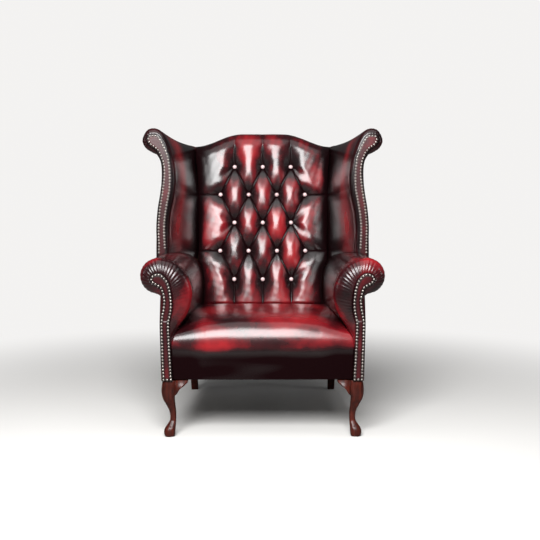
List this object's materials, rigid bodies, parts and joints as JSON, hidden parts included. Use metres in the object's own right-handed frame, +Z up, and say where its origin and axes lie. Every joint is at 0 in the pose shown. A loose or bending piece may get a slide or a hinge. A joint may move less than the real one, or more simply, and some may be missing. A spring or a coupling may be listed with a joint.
{
  "type": "wing armchair",
  "caption": "High-backed wing armchair with a deep-buttoned leather back, sprung seat, scroll arms and wings edged with nails, on cabriole front legs.",
  "frame": {"origin": "on the floor, under the middle of the chair's bounding box", "axes": "+X to the right as seen from the front, -Y is the front of the chair, +Z up"},
  "size_m": [0.908, 0.8143, 1.104],
  "materials": {
    "beech": "planed beech",
    "mahogany": "gloss lacquered red mahogany",
    "steel": "plain zinc-plated steel",
    "sacking": "woven jute",
    "padding": "upholstery foam with wadding",
    "black_cloth": "thin black bottoming cloth",
    "oxblood_leather": "glossy rubbed-off antique leather",
    "dark_leather": "glossy dark antique leather",
    "button_leather": "polished covered buttons",
    "nickel": "nickel-plated domed nail heads"
  },
  "bodies": {
    "root": {"front_seat_rail": "beech", "back_seat_rail": "beech", "left_seat_rail": "beech", "right_seat_rail": "beech", "corner_blocks": "beech", "left_back_post": "beech", "right_back_post": "beech", "back_lower_rail": "beech", "back_top_rail": "beech", "left_arm_post": "beech", "right_arm_post": "beech", "left_arm_rail": "beech", "right_arm_rail": "beech", "left_wing_post": "beech", "right_wing_post": "beech", "left_wing_rail": "beech", "right_wing_rail": "beech", "left_front_leg": "mahogany", "right_front_leg": "mahogany", "left_rear_leg": "mahogany", "right_rear_leg": "mahogany", "leg_bolts": "steel", "seat_springs": "steel", "spring_clips": "steel", "seat_hessian": "sacking", "back_uprights_webbing": "sacking", "back_cross_webbing": "sacking", "back_hessian": "sacking", "seat_foam": "padding", "back_foam": "padding", "left_arm_foam": "padding", "right_arm_foam": "padding", "left_wing_foam": "padding", "right_wing_foam": "padding", "dust_cover": "black_cloth", "seat_cover": "oxblood_leather", "inside_back_cover": "oxblood_leather", "left_inside_arm_cover": "oxblood_leather", "right_inside_arm_cover": "oxblood_leather", "left_inside_wing_cover": "oxblood_leather", "right_inside_wing_cover": "oxblood_leather", "outside_back_cover": "dark_leather", "left_outside_arm_cover": "dark_leather", "right_outside_arm_cover": "dark_leather", "left_arm_facing": "dark_leather", "right_arm_facing": "dark_leather", "left_outside_wing_cover": "dark_leather", "right_outside_wing_cover": "dark_leather", "left_wing_facing": "dark_leather", "right_wing_facing": "dark_leather", "back_buttons": "button_leather", "left_arm_nails": "nickel", "right_arm_nails": "nickel", "left_wing_nails": "nickel", "right_wing_nails": "nickel", "outside_back_nails": "nickel"}
  },
  "joints": []
}
